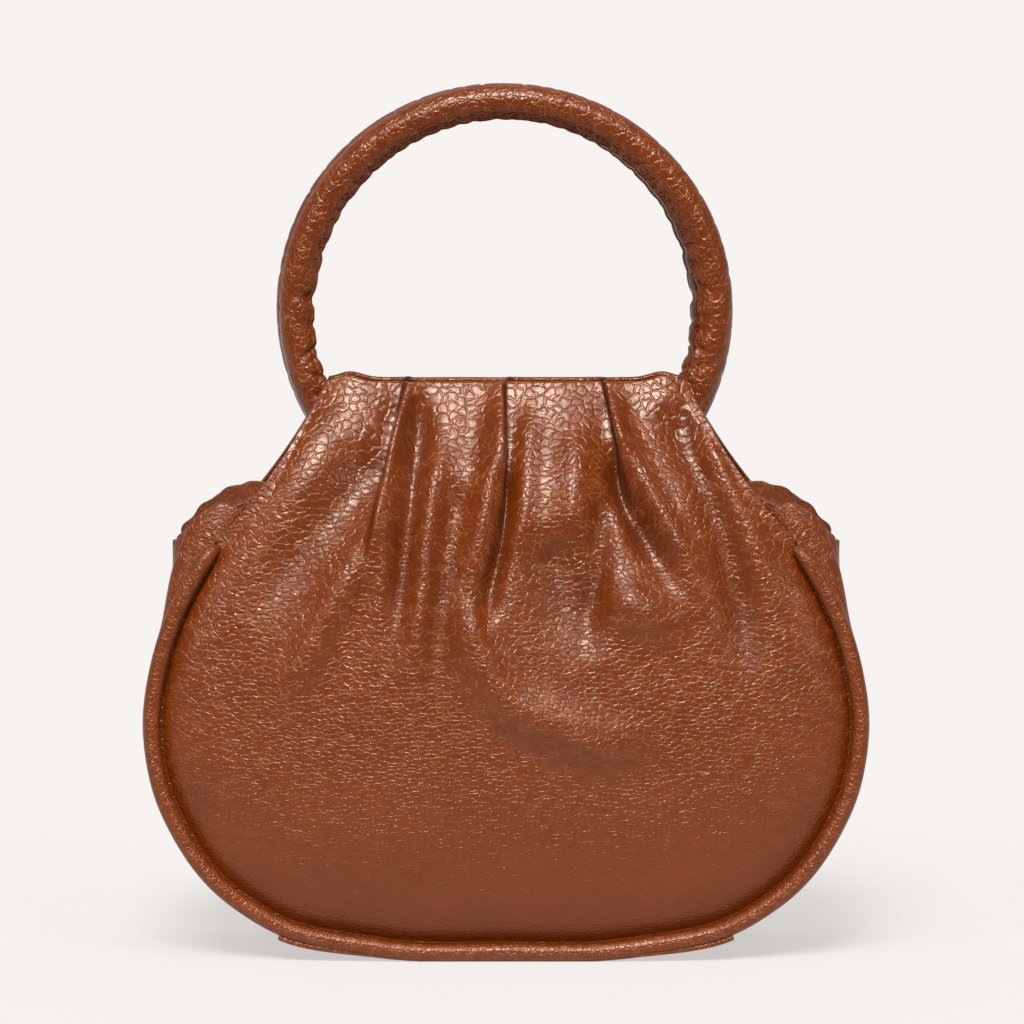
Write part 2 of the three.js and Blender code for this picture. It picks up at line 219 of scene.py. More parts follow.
# Left gusset from its front seam to its back seam: depth and depth at the hem as shares of half
# the seam depth, body and top out of the seam line as shares of the puff, rise of the hem, how
# close to the hem the puff stays, and the roll beside the piping
GUSSET_ROWS = (
    (-1, -0.93, -0.1, -0.92, 0.8, 2.4, 0),
    (-0.985, -0.9, 0, -0.6, 0.5, 2.2, 0.3),
    (-0.95, -0.86, 0, -0.15, 0.6, 2, 0.9),
    (-0.89, -0.8, 0, 0.25, 0.35, 1.5, 1),
    (-0.78, -0.68, -0.04, 0.85, -0.1, 1.5, 0.3),
    (-0.6, -0.54, -0.02, 1, -0.25, 1.5, 0),
    (-0.42, -0.4, 0, 0.6, 0, 1.5, 0),
    (-0.24, -0.26, 0, -0.35, 0.4, 1.4, 0),
    (0, -0.05, 0, -1.35, 0.85, 1.3, 0),
    (0.24, 0.22, 0, -0.5, 0.8, 1.4, 0),
    (0.42, 0.4, 0, 0.35, 0.35, 1.5, 0),
    (0.6, 0.54, -0.02, 0.95, -0.2, 1.5, 0),
    (0.78, 0.68, -0.04, 0.7, 0, 1.5, 0.3),
    (0.89, 0.8, 0, 0.2, 0.4, 1.5, 1),
    (0.95, 0.86, 0, -0.15, 0.55, 2, 0.9),
    (0.985, 0.9, 0, -0.5, 0.4, 2.2, 0.3),
    (1, 0.93, -0.1, -0.9, 0.55, 2.4, 0),
)
GUSSET_ROLL = 3
GATHER_RISE = 0.55
GATHER_PITCH = 5.2
GATHER_FROM = (0.84, 1)
GATHER_ENDS = (1, 0.9)
ROLL_FROM = (0.76, 0.9)
ROLL_TO = (0.97, 1)

# Places of the rows beside an edge or a pleat, in millimetres from it
EDGE_STEPS = (0, 0.12, 0.27, 0.45, 0.68, 0.95, 1.3, 1.7, 2.2, 2.8)
EDGE_REACH = 3.6

# How far below the floor the pebbles would shrink to nothing
FAN_CENTRE_DOWN = 300
GRAIN_SQUEEZE = 1.15
GRAIN_FLATTEN = 0.16
FLAT_BELOW = 172
GRAIN_ARCH = 0.5

# The studio: lamps by name, strength in watts per square metre, spread in degrees and the
# direction that they stand in; the camera, its aim in millimetres and its distance in metres
SOFTBOXES = (
    ("key_softbox", 3.8, 22, (-0.1, -1.0, 0.95)),
    ("left_softbox", 0.5, 13, (-0.75, -1.0, 1.05)),
    ("right_softbox", 0.5, 13, (0.6, -1.0, 1.05)),
    ("high_softbox", 0.35, 18, (0.1, -0.5, 1.1)),
    ("left_strip", 0.25, 12, (-0.9, -1.0, 0.3)),
    ("right_strip", 0.25, 12, (0.9, -1.0, 0.3)),
    ("top_softbox", 0.35, 110, (0.0, 0.1, 1.0)),
)
FLOOR_HALF_WIDTH = 60
CAMERA_LENS = 274
CAMERA_ELEVATION = 4.3
CAMERA_AIM = (2, -42, 151)
CAMERA_DISTANCE = 2.6


def mix(a, b, share):
    return a + (b - a) * share


def smooth(low, high, value):
    share = np.clip((value - low) / (high - low), 0, 1)
    return share * share * (3 - 2 * share)


def bump(offset, width):
    return np.exp(-(offset / width) ** 2)


def unit(vectors):
    return vectors / np.maximum(np.linalg.norm(vectors, axis=-1, keepdims=True), 1e-9)


def read_profile(rows, place):
    """Smooth curve through the rows of a profile, read at many places."""
    at, out = np.array(rows, float).T
    slopes = np.empty_like(out)
    slopes[1:-1] = (out[2:] - out[:-2]) / (at[2:] - at[:-2])
    slopes[0] = (out[1] - out[0]) / (at[1] - at[0])
    slopes[-1] = (out[-1] - out[-2]) / (at[-1] - at[-2])
    k = np.clip(np.searchsorted(at, place, side="right") - 1, 0, len(at) - 2)
    span = at[k + 1] - at[k]
    t = np.clip((place - at[k]) / span, 0, 1)
    lean = t * (1 - t) * ((1 - t) * slopes[k] - t * slopes[k + 1])
    return mix(out[k], out[k + 1], t * t * (3 - 2 * t)) + span * lean


def curve_through(points, steps=300):
    """Centripetal curve through points, as a fine line and the length up to each of its points."""
    points = np.array(points, float)
    run = np.vstack([2 * points[0] - points[1], points, 2 * points[-1] - points[-2]])
    t = np.linspace(0, 1, steps, endpoint=False)[:, None]
    line = []
    for a, b, c, d in zip(run, run[1:], run[2:], run[3:]):
        ab, bc, cd = (math.sqrt(np.linalg.norm(q - p)) for p, q in ((a, b), (b, c), (c, d)))
        start = ((b - a) / ab - (c - a) / (ab + bc) + (c - b) / bc) * bc
        end = ((c - b) / bc - (d - b) / (bc + cd) + (d - c) / cd) * bc
        line.append(
            mix(b, c, t * t * (3 - 2 * t)) + t * (1 - t) * ((1 - t) * start - t * end)
        )
    line = np.vstack([*line, points[-1:]])
    steps_long = np.linalg.norm(np.diff(line, axis=0), axis=1)
    return line, np.concatenate([[0], np.cumsum(steps_long)])


def on_curve(curve, share):
    line, lengths = curve
    place = np.clip(share, 0, 1) * lengths[-1]
    return np.stack([np.interp(place, lengths, line[:, k]) for k in range(3)], axis=-1)


RIGHT_OUTLINE = [(across * HALF_WIDTH, 0, SEWN_GAP + up * SEAM_HEIGHT) for across, up in OUTLINE]
SEAM = curve_through([(-x, y, z) for x, y, z in RIGHT_OUTLINE[:0:-1]] + RIGHT_OUTLINE)
SEAM_HALF_LENGTH = SEAM[1][-1] / 2


def seam_out(share):
    """Direction out of the seam line; share is -1 and 1 at its ends and 0 at the bottom middle."""
    place = (share + 1) / 2
    tangent = unit(on_curve(SEAM, place + 0.002) - on_curve(SEAM, place - 0.002))
    return np.stack([tangent[..., 2], np.zeros_like(place), -tangent[..., 0]], axis=-1)


def seam_point(share, inset):
    return on_curve(SEAM, (share + 1) / 2) - seam_out(share) * np.asarray(inset)[..., None]


def panel_inset(share):
    covered = smooth(1 - PIPING_TUCK / SEAM_HALF_LENGTH, 1, np.abs(share))
    return mix(PANEL_INSET, PIPING_RADIUS, covered)


def panel_seam(share):
    return seam_point(share, panel_inset(share))


def seam_flange(share):
    """Rows of the panel's edge that run on behind the piping, from the hidden edge outward."""
    inset = np.minimum(PANEL_INSET, panel_inset(share))
    tucked = np.minimum(FLANGE_INSET, inset - SEWN_GAP)
    hidden = 1 - np.linspace(0, 1, FLANGE_ROWS, endpoint=False)
    rows = seam_point(np.repeat(share, FLANGE_ROWS, axis=1), mix(inset, tucked, hidden))
    rows[..., 1] = -PANEL_SEAM_DEPTH + FLANGE_DROP * hidden ** 2
    return rows


def guide_curve(start, low, middle, hem):
    return curve_through([
        panel_seam(np.array(start, float)),
        (low[0] * HALF_WIDTH, 0, low[1] * HEM_HEIGHT),
        (middle[0] * HALF_WIDTH, 0, middle[1] * HEM_HEIGHT),
        (hem * HEM_WIDTH / 2, 0, HEM_HEIGHT),
    ])


GUIDE_CURVES = [guide_curve(*row) for row in GUIDES]


def spread(length, count, near_start=1, near_end=1):
    """Places from 0 to 1 over lengths in millimetres, close together at both ends."""
    length = np.asarray(length, float)
    steps = np.array(EDGE_STEPS)[:, None]
    start_reach = EDGE_REACH * near_start / length
    end_reach = EDGE_REACH * near_end / length
    middle = np.linspace(0, 1, count)[:, None]
    return np.vstack([
        steps * near_start / length,
        mix(start_reach, 1 - end_reach, middle),
        1 - (steps * near_end / length)[::-1],
    ])


def panel_grid(columns_each, rows):
    """Pillow of the panel: points, band numbers, places along and across."""
    along = spread(np.array([HEM_HEIGHT]), rows)[:, 0]
    relax = mix(5, 1, smooth(0.1, 0.62, along))
    points, flanges, bands, across, shares = [], [], [], [], []
    for band, (left, right) in enumerate(zip(GUIDES, GUIDES[1:])):
        left_line = on_curve(GUIDE_CURVES[band], along)
        right_line = on_curve(GUIDE_CURVES[band + 1], along)
        width = np.linalg.norm(right_line - left_line, axis=1)
        near_left = relax if band > 0 else 1
        near_right = relax if band < len(GUIDES) - 2 else 1
        share = spread(width, columns_each, near_left, near_right)
        if band > 0:
            share = share[1:]
        place = mix(left_line, right_line, share[..., None])
        foot = mix(left_line[0], right_line[0], share[..., None])
        start = mix(left[0], right[0], share)
        place = place + (panel_seam(start) - foot) * (1 - along)[:, None]
        points.append(place)
        flanges.append(seam_flange(start[:, :1]))
        bands.append(np.full(share.shape, band))
        shares.append(share)
        across.append(mix(left[3], right[3], share))
    point, band, across = np.vstack(points), np.vstack(bands), np.vstack(across)
    along = np.broadcast_to(along, across.shape)
    corner = bump(1 - np.abs(across) - CORNER_PLACE, CORNER_WIDTH)
    point[..., 2] += CORNER_RISE * corner * smooth(CORNER_FROM, 1, along)
    fullness = 1 - np.abs(across) ** FULLNESS_POWER
    out = mix(read_profile(EDGE_PROFILE, along), read_profile(MIDDLE_PROFILE, along), fullness)
    reach = np.where(out < 0, PANEL_SEAM_DEPTH - HEM_DEPTH / 2, BELLY_DEPTH)
    point[..., 1] = -PANEL_SEAM_DEPTH - out * reach
    return point, np.vstack(flanges), band, along, np.vstack(shares)


def sheet_normals(points):
    return unit(np.cross(np.gradient(points, axis=0), np.gradient(points, axis=1)))


def soft_fold(width, rise, places, x, z):
    """Ridge or valley along a smooth line through its places, running out at both ends."""
    line, lengths = curve_through(
        [(across * HALF_WIDTH, 0, up * HEM_HEIGHT) for across, up in places], steps=40
    )
    apart = np.hypot(x[..., None] - line[:, 0], z[..., None] - line[:, 2])
    length = lengths[apart.argmin(axis=-1)]
    running_out = min(FOLD_END, lengths[-1] / 2)
    ends = smooth(0, FOLD_START, length) * smooth(0, running_out, lengths[-1] - length)
    return rise * ends * bump(apart.min(axis=-1), width)


def pleated(points, band, along, share, settings):
    """Lifts the soft folds and lays each knife pleat's top band over the one beside it.

    Gives the points, their height over the smooth panel and how deep in a hollow they lie.
    """
    normal = sheet_normals(points)
    for _ in range(NORMAL_PASSES):
        normal[1:-1] = (normal[:-2] + 2 * normal[1:-1] + normal[2:]) / 4
    normal = unit(normal)
    sideways = unit(np.gradient(points, axis=0))
    x, z = points[..., 0], points[..., 2]
    height = sum(soft_fold(*fold, x, z) for fold in SOFT_FOLDS)
    height = height * smooth(0, FOLD_EDGE, edge_distance(points))
    height = height * (1 - smooth(*FOLDS_GONE, along))
    height = height + BAND_FULL * (4 * share * (1 - share)) ** 2 * smooth(*BAND_FROM, along)
    # How deep in a hollow: the leather darkens there with painted shade.
    hollow = np.clip(-height / HOLLOW_FULL, 0, HOLLOW_MOST)
    shift = np.zeros_like(height)
    edge = settings.pleat_edge / MM
    lap = settings.pleat_lap / MM
    for guide, over, full, end, roll in PLEATS:
        line = on_curve(GUIDE_CURVES[guide], along)
        side = np.where(band >= guide, 1, -1) * over
        offset = np.hypot(x - line[..., 0], z - line[..., 2]) * side
        up = z / HEM_HEIGHT
        strength = smooth(end, full, up)
        pressed = smooth(*HEM_PRESS, up)
        reach = edge * mix(PLEAT_OPENS, 1, strength)
        on_top = smooth(-reach, reach, offset)
        crest = mix(-PLEAT_SINK * (1 - pressed), PLEAT_RISE, on_top) * bump(offset, PLEAT_CREST)
        rolled = PLEAT_ROLL * roll * (bump(offset - 1.7, 1.5) - 0.8 * bump(offset - 5.5, 2.4))
        height = height + (crest + rolled * (1 - pressed)) * strength
        # The pleat's line gets a hollow too, so painted shade darkens it.
        hollow = np.maximum(hollow, PLEAT_LINE * bump(offset + 0.7, 0.9) * strength)
        laid = lap * strength * (1 - pressed)
        shift = shift - over * laid * (offset / reach) * bump(offset, reach)
    lifted = points + normal * height[..., None] + sideways * shift[..., None]
    lifted[..., 2] = mix(lifted[..., 2], points[..., 2], smooth(*HEM_LEVEL, along))
    return lifted, height, hollow


def edge_distance(points):
    """Distance over the sheet from each point to its nearest edge."""
    near = np.full(points.shape[:2], 1e9)
    for axis in (0, 1):
        step = np.linalg.norm(np.diff(points, axis=axis), axis=-1)
        start = np.zeros(points.shape[:2])
        if axis == 0:
            start[1:] = np.cumsum(step, axis=0)
            far = start[-1:] - start
        else:
            start[:, 1:] = np.cumsum(step, axis=1)
            far = start[:, -1:] - start
        near = np.minimum(near, np.minimum(start, far))
    return near


def fan_grain(points, height):
    """Flat pattern coordinates that make the pebbles grow toward the hem, away from a far point.

    Below the pleats the pebbles are wider than high, and they arch over the folds.
    """
    dz = points[..., 2] + FAN_CENTRE_DOWN
    reach = np.hypot(points[..., 0], dz)
    turned = np.arctan2(points[..., 0], dz)
    flat = np.stack([turned, np.log(reach / FAN_CENTRE_DOWN), np.zeros_like(dz)], axis=-1)
    flat *= FAN_CENTRE_DOWN
    flat[..., 1] *= GRAIN_SQUEEZE
    flat[..., 1] -= GRAIN_FLATTEN * np.maximum(FLAT_BELOW - points[..., 2], 0) ** 1.15
    flat[..., 1] -= GRAIN_ARCH * height
    return flat


def arc_grain(points):
    """Flat pattern coordinates from the lengths along the rows and columns of a sheet."""
    steps = [np.linalg.norm(np.diff(points, axis=axis), axis=-1) for axis in (0, 1)]
    first, second = np.zeros(points.shape[:2]), np.zeros(points.shape[:2])
    first[1:] = np.cumsum(steps[0], axis=0)
    second[:, 1:] = np.cumsum(steps[1], axis=1)
    first -= first[len(first) // 2]
    return np.stack([first, second, np.zeros_like(first)], axis=-1)


def mesh_from_layers(name, layers, grain):
    """One closed skin from grids that meet at their edges; each grid is moved to its place.

    grain holds the pattern coordinates across and along, and how bent the leather is: from -1
    where it is drawn smooth to 1 at the bottom of a fold.
    """
    columns, rows = grain.shape[0] - 1, grain.shape[1] - 1
    mesh_builder = bmesh.new()
    grain_layer = mesh_builder.verts.layers.float_vector.new("grain")
    bend_layer = mesh_builder.verts.layers.float.new("bend")
    for points in layers:
        made = bmesh.ops.create_grid(mesh_builder, x_segments=columns, y_segments=rows, size=1)
        for vert in made["verts"]:
            i = round((vert.co.x + 1) / 2 * columns)
            j = round((vert.co.y + 1) / 2 * rows)
            vert.co = points[i, j] * MM
            vert[grain_layer] = (grain[i, j, 0] * MM, grain[i, j, 1] * MM, 0)
            vert[bend_layer] = grain[i, j, 2]
    bmesh.ops.remove_doubles(mesh_builder, verts=mesh_builder.verts, dist=1e-6)
    bmesh.ops.recalc_face_normals(mesh_builder, faces=mesh_builder.faces)
    return finished(name, mesh_builder)


def finished(name, mesh_builder):
    mesh = bpy.data.meshes.new(name)
    mesh_builder.to_mesh(mesh)
    mesh_builder.free()
    mesh.shade_smooth()
    piece = bpy.data.objects.new(name, mesh)
    bpy.context.collection.objects.link(piece)
    return piece


def walled_sheet(name, outer, wall, grain):
    """Leather sheet with round edges: outer is its outside, the wall goes to the other side."""
    normal = sheet_normals(outer)
    radius = wall / 2
    short = np.maximum(radius - edge_distance(outer), 0)
    half = np.sqrt(np.maximum(radius ** 2 - short ** 2, 0))[..., None]
    middle = outer - normal * radius
    return mesh_from_layers(name, [middle + normal * half, middle - normal * half], grain)


def turned_round(piece, shift=(0, 0)):
    """Copy of a front piece as its back one, turned half round the upright axis."""
    copy = bpy.data.objects.new(piece.name.replace("front", "back"), piece.data.copy())
    copy.data.name = copy.name
    bpy.context.collection.objects.link(copy)
    moved = Matrix.Translation((shift[0] * MM, 0, shift[1] * MM))
    copy.data.transform(Matrix.Rotation(math.pi, 4, "Z") @ moved)
    return copy


def lower_hem(piece, drop):
    """Lets a panel's upper edge down, so that it doesn't show over the other panel's."""
    for vert in piece.data.vertices:
        vert.co.z -= drop * MM * float(smooth(*HEM_LEVEL, vert.co.z / MM / HEM_HEIGHT))


def mirrored(piece, name):
    """Copy of a left piece as the right one."""
    mesh_builder = bmesh.new()
    mesh_builder.from_mesh(piece.data)
    bmesh.ops.scale(mesh_builder, vec=(-1, 1, 1), verts=mesh_builder.verts)
    bmesh.ops.recalc_face_normals(mesh_builder, faces=mesh_builder.faces)
    return finished(name, mesh_builder)


def dress(piece, material, *nodes):
    """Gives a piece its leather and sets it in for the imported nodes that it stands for."""
    piece.data.materials.append(material)
    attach(piece, "root")
    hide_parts(*nodes)


def linear(hex_colour):
    """Linear colour of an sRGB hex value."""
    shares = [int(hex_colour[k:k + 2], 16) / 255 for k in (1, 3, 5)]
    return [s / 12.92 if s <= 0.04045 else ((s + 0.055) / 1.055) ** 2.4 for s in shares]


def add_node(tree, kind, settings=None, **inputs):
    """Adds a node; an input is a value or the output of another node."""
    node = tree.nodes.new(kind)
    for key, value in (settings or {}).items():
        setattr(node, key, value)
    for key, value in inputs.items():
        socket = node.inputs[int(key[1:]) if key[1:].isdigit() else key.replace("_", " ")]
        if isinstance(value, bpy.types.NodeSocket):
            tree.links.new(value, socket)
        else:
            socket.default_value = value
    return node


def stepped(tree, value, low, high, start=0.0, end=1.0):
    """Soft step from start, where the value is low, to end, where it is high."""
    return add_node(
        tree, "ShaderNodeMapRange", {"interpolation_type": "SMOOTHSTEP"},
        Value=value, From_Min=low, From_Max=high, To_Min=start, To_Max=end,
    ).outputs[0]


def worked_out(tree, operation, *values):
    """Result of a Math node."""
    inputs = {f"_{k}": value for k, value in enumerate(values)}
    return add_node(tree, "ShaderNodeMath", {"operation": operation}, **inputs).outputs[0]


def blended(tree, share, first, second):
    return add_node(
        tree, "ShaderNodeMix", {"data_type": "RGBA"}, Factor=share, _6=first, _7=second,
    ).outputs[2]


def cell_edges(tree, place, scale, randomness):
    """Distance to the borders of a flat pattern of irregular cells."""
    return add_node(
        tree, "ShaderNodeTexVoronoi", {"feature": "DISTANCE_TO_EDGE", "voronoi_dimensions": "2D"},
        Vector=place, Scale=scale, Randomness=randomness,
    ).outputs["Distance"]


def milled_leather(name, settings, cell=1.0, relief=1.0):
    """Cow leather, milled to a pebbled grain, dyed and given a brownish half-gloss top coat: soft
    pebbles with a broad sheen. Light lines between the pebbles are a painted highlight for glints
    on the crease walls, and deep in the folds painted shade darkens it, where the top coat is
    duller.
    """
    material = bpy.data.materials.new(name)
    material.use_nodes = True
    tree = material.node_tree
    tree.nodes.clear()
    cell_size = settings.pebble_size * cell
    place = add_node(tree, "ShaderNodeAttribute", {"attribute_name": "grain"}).outputs["Vector"]

    # The pebbles' borders wander by up to about a third of a pebble.
    drift = add_node(tree, "ShaderNodeTexNoise", Vector=place, Scale=0.6 / cell_size, Detail=2.0)
    centred = add_node(
        tree, "ShaderNodeVectorMath", {"operation": "SUBTRACT"},
        _0=drift.outputs["Color"], _1=(0.5, 0.5, 0.5),
    ).outputs[0]
    wandering = add_node(
        tree, "ShaderNodeVectorMath", {"operation": "SCALE"}, _0=centred, Scale=cell_size * 1.5,
    ).outputs[0]
    warped = add_node(
        tree, "ShaderNodeVectorMath", {"operation": "ADD"}, _0=place, _1=wandering,
    ).outputs[0]

    # Flat pebbles with soft shoulders, finer cracks across them, and pores. Where the leather
    # is drawn smooth they stand out half as much.
    pebbles = cell_edges(tree, warped, 1 / cell_size, 0.9)
    cracks = cell_edges(tree, warped, 2.3 / cell_size, 1.0)
    pores = add_node(
        tree, "ShaderNodeTexNoise", Vector=place, Scale=3.4 / cell_size, Detail=3.0, Roughness=0.6,
    ).outputs["Fac"]
    shoulder = stepped(tree, pebbles, 0.0, 0.2)
    rounded = worked_out(tree, "MULTIPLY_ADD", stepped(tree, pebbles, 0.0, 0.5), 0.25, shoulder)
    cracked = worked_out(tree, "MULTIPLY", stepped(tree, cracks, 0.0, 0.14), 0.14)
    fine = worked_out(tree, "MULTIPLY_ADD", pores, 0.06, cracked)
    height = worked_out(tree, "ADD", rounded, fine)
    bend = add_node(tree, "ShaderNodeAttribute", {"attribute_name": "bend"}).outputs["Fac"]
    not_drawn_smooth = add_node(tree, "ShaderNodeMapRange", Value=bend, From_Min=-1.0, From_Max=0.0).outputs[0]
    kept = add_node(tree, "ShaderNodeMapRange", Value=not_drawn_smooth, To_Min=0.5, To_Max=1.0).outputs[0]
    relief_node = add_node(
        tree, "ShaderNodeBump", Height=worked_out(tree, "MULTIPLY", height, kept), Strength=1.0,
        Distance=settings.pebble_height * relief,
    )

    # The dye takes unevenly. In patches the creases get a painted highlight for their glints, and
    # deep in the folds and at the pleats' lines painted shade darkens it, where the top coat is
    # dull too.
    clouds = add_node(
        tree, "ShaderNodeTexNoise", Vector=place, Scale=28.0, Detail=3.0, Roughness=0.55,
    ).outputs["Fac"]
    dye = blended(tree, clouds, (*settings.dark_dye, 1), (*settings.light_dye, 1))
    # Pale lines along the pebbles' borders and the cracks: painted highlight standing in for
    # glints on the crease walls.
    crease = stepped(tree, pebbles, 0.0, 0.09, 0.75, 0.0)
    crack = stepped(tree, cracks, 0.0, 0.1, 0.3, 0.0)
    blotches = add_node(
        tree, "ShaderNodeTexNoise", Vector=place, Scale=0.45 / cell_size, Detail=2.0,
    ).outputs["Fac"]
    patches = worked_out(tree, "MULTIPLY", stepped(tree, blotches, 0.42, 0.66), not_drawn_smooth)
    painted_glint_share = worked_out(tree, "MULTIPLY", worked_out(tree, "MAXIMUM", crease, crack), patches)
    dye_and_painted_glints = blended(tree, painted_glint_share, dye, (*settings.painted_crease_glint, 1))
    # Darker colour deep in the folds and at the pleats' lines: painted shade.
    painted_shade_share = worked_out(tree, "MAXIMUM", bend, 0.0)
    colour = blended(tree, painted_shade_share, dye_and_painted_glints, (*settings.painted_fold_shade, 1))
    roughness = add_node(
        tree, "ShaderNodeMapRange", Value=bend, From_Min=0.4, To_Min=0.24, To_Max=0.75,
    ).outputs[0]
    shader = add_node(
        tree, "ShaderNodeBsdfPrincipled", Base_Color=colour, Roughness=roughness, IOR=1.5,
        Specular_Tint=(1, 0.84, 0.7, 1), Normal=relief_node.outputs["Normal"],
    )
    add_node(tree, "ShaderNodeOutputMaterial", Surface=shader.outputs[0])
    return material


class RingBagSettings(bpy.types.PropertyGroup):
    """Sizes and colours of the bag's leather that a user may change."""

    light_dye: bpy.props.FloatVectorProperty(
        name="Light dye", description="Colour of the leather where the dye took least",
        subtype="COLOR", size=3, min=0, max=1, default=linear("#702f09"),
    )
    dark_dye: bpy.props.FloatVectorProperty(
        name="Dark dye", description="Colour of the leather where the dye took most",
        subtype="COLOR", size=3, min=0, max=1, default=linear("#5c2405"),
    )
    # Colour of the painted highlight along the creases, standing in for their glints.
    painted_crease_glint: bpy.props.FloatVectorProperty(
        name="Painted crease glint", description="Colour of the paler creases between the pebbles",
        subtype="COLOR", size=3, min=0, max=1, default=linear("#9b5932"),
    )
    # Colour of the painted shade deep in the folds and at the pleats' lines.
    painted_fold_shade: bpy.props.FloatVectorProperty(
        name="Painted fold shade", description="Colour deep in the folds and at the pleats' lines",
        subtype="COLOR", size=3, min=0, max=1, default=linear("#3a1604"),
    )
    pebble_size: bpy.props.FloatProperty(
        name="Pebble size", description="Width of one pebble of the grain low on the panels",
        subtype="DISTANCE", unit="LENGTH", min=0.0005, default=0.002, precision=5,
    )
    pebble_height: bpy.props.FloatProperty(
        name="Pebble height", description="Depth of the creases between the pebbles of the grain",
        subtype="DISTANCE", unit="LENGTH", min=0, default=0.00013, precision=5,
    )
    pleat_edge: bpy.props.FloatProperty(
        name="Pleat edge", description="Reach of the rolled edge of a pleat",
        subtype="DISTANCE", unit="LENGTH", min=0.0002, default=0.0011, precision=5,
    )
    pleat_lap: bpy.props.FloatProperty(
        name="Pleat lap", description="Reach of a pleat's top band over the one beside it",
        subtype="DISTANCE", unit="LENGTH", min=0, default=0.0015, precision=5,
    )
    pucker_pitch: bpy.props.FloatProperty(
        name="Pucker pitch", description="Distance between the puckers at the rings' inner seam",
        subtype="DISTANCE", unit="LENGTH", min=0.002, default=0.0062, precision=5,
    )
    pucker_depth: bpy.props.FloatProperty(
        name="Pucker depth", description="Depth of the puckers at the rings' inner seam",
        subtype="DISTANCE", unit="LENGTH", min=0, default=0.0013, precision=5,
    )


def bag_settings(context):
    return context.scene.ring_bag


def bag_leather(context, name, **options):
    """The bag's leather by name, made at its first use."""
    return bpy.data.materials.get(name) or milled_leather(name, bag_settings(context), **options)


class RINGBAG_OT_panels(bpy.types.Operator):
    """Makes the two pleated panels"""

    bl_idname = "ringbag.panels"
    bl_label = "Panels"

    def execute(self, context):
        points, flange, band, along, share = panel_grid(PANEL_COLUMNS, PANEL_ROWS)
        lifted, height, hollow = pleated(points, band, along, share, bag_settings(context))
        none = np.zeros(flange.shape[:2])
        outer = np.hstack([flange, lifted])
        grain = fan_grain(np.hstack([flange, points]), np.hstack([none, height]))
        drawn_smooth = DRAWN_SMOOTH * (1 - smooth(*SMOOTH_BELOW, outer[..., 2]))
        # The hollows go into the bend attribute, which the leather turns into painted shade.
        grain[..., 2] = np.hstack([none, hollow]) - drawn_smooth
        front = walled_sheet("front_panel_leather", outer, LEATHER_WALL, grain)
        back = turned_round(front)
        lower_hem(back, BACK_HEM_DROP)
        leather = bag_leather(context, "milled_panel_leather")
        dress(front, leather, "front_panel")
        dress(back, leather, "back_panel")
        return {"FINISHED"}


class RINGBAG_OT_piping(bpy.types.Operator):
    """Makes the covered cord along both seams"""

    bl_idname = "ringbag.piping"
    bl_label = "Piping"

    def execute(self, context):
        reach = 1 - PIPING_SHORT / SEAM_HALF_LENGTH
        share = np.linspace(-reach, reach, PIPING_STEPS + 1)
        turn = np.linspace(-math.pi, math.pi, PIPING_SIDES + 1)
        taper_length = PIPING_TAPER / SEAM_HALF_LENGTH
        to_end = (reach - np.abs(share)) / taper_length
        full = np.sqrt(np.clip(1 - np.clip(1 - to_end, 0, 1) ** 2, 0, 1))
        radius = (PIPING_RADIUS * full)[:, None]
        tuck = (1 - full) * PIPING_DIVE
        middle = seam_point(share, PIPING_RADIUS + PIPING_LEAN * tuck)
        out = seam_out(share)[:, None, :]
        points = middle[:, None, :] + out * (radius * np.cos(turn))[..., None]
        points[..., 1] = -SEAM_DEPTH / 2 + tuck[:, None] - radius * np.sin(turn)
        lengths = share * SEAM_HALF_LENGTH
        grain = np.stack(np.broadcast_arrays(lengths[:, None], turn * PIPING_RADIUS, 0.0), axis=-1)
        front = mesh_from_layers("front_piping_leather", [points], grain)
        back = turned_round(front)
        leather = bag_leather(context, "skived_piping_leather", cell=0.8, relief=0.7)
        dress(front, leather, "front_piping")
        dress(back, leather, "back_piping")
        return {"FINISHED"}


class RINGBAG_OT_rings(bpy.types.Operator):
    """Makes the two ring handles with their puckered leather wrap"""

    bl_idname = "ringbag.rings"
    bl_label = "Ring handles"

    def execute(self, context):
        front = wrapped_ring("front_ring_handle_wrap", bag_settings(context))
        back = turned_round(front, (BACK_RING_SHIFT, -BACK_RING_DROP))
        leather = bag_leather(context, "wrapped_ring_leather", cell=1.25, relief=0.9)
        dress(front, leather, "front_ring_handle")
        dress(back, leather, "back_ring_handle")
        return {"FINISHED"}


def wrapped_ring(name, settings):
    """Ring of leather sewn round a hard core, its seam gathered along the inside."""
    mesh_builder = bmesh.new()
    bmesh.ops.create_circle(
        mesh_builder, segments=RING_SIDES, radius=RING_TUBE,
        matrix=Matrix.Translation((RING_RADIUS, 0, 0)),
    )
    bmesh.ops.spin(
        mesh_builder, geom=mesh_builder.verts[:] + mesh_builder.edges[:], cent=(0, 0, 0),
        axis=(0, 1, 0), angle=2 * math.pi, steps=RING_STEPS, use_merge=True,
    )
    bmesh.ops.remove_doubles(mesh_builder, verts=mesh_builder.verts, dist=1e-4)
    bmesh.ops.recalc_face_normals(mesh_builder, faces=mesh_builder.faces)
    places = np.array([vert.co for vert in mesh_builder.verts])
    from_top = np.arctan2(places[:, 0], places[:, 2])
    radial = np.hypot(places[:, 0], places[:, 2])
    round_tube = np.arctan2(places[:, 1], radial - RING_RADIUS)
    length = from_top * RING_RADIUS
    tube = RING_TUBE + wrap_relief(length, round_tube, settings)
    radial = RING_RADIUS + tube * np.cos(round_tube)
    moved = np.stack([
        radial * np.sin(from_top),
        tube * np.sin(round_tube) - RING_DEPTH,
        RING_HEIGHT + radial * np.cos(from_top),
    ], axis=-1) * MM
    grain_layer = mesh_builder.verts.layers.float_vector.new("grain")
    for vert, place, along, turn in zip(mesh_builder.verts, moved, length, round_tube * RING_TUBE):
        vert.co = place
        vert[grain_layer] = (along * MM, turn * MM, 0)
    return finished(name, mesh_builder)


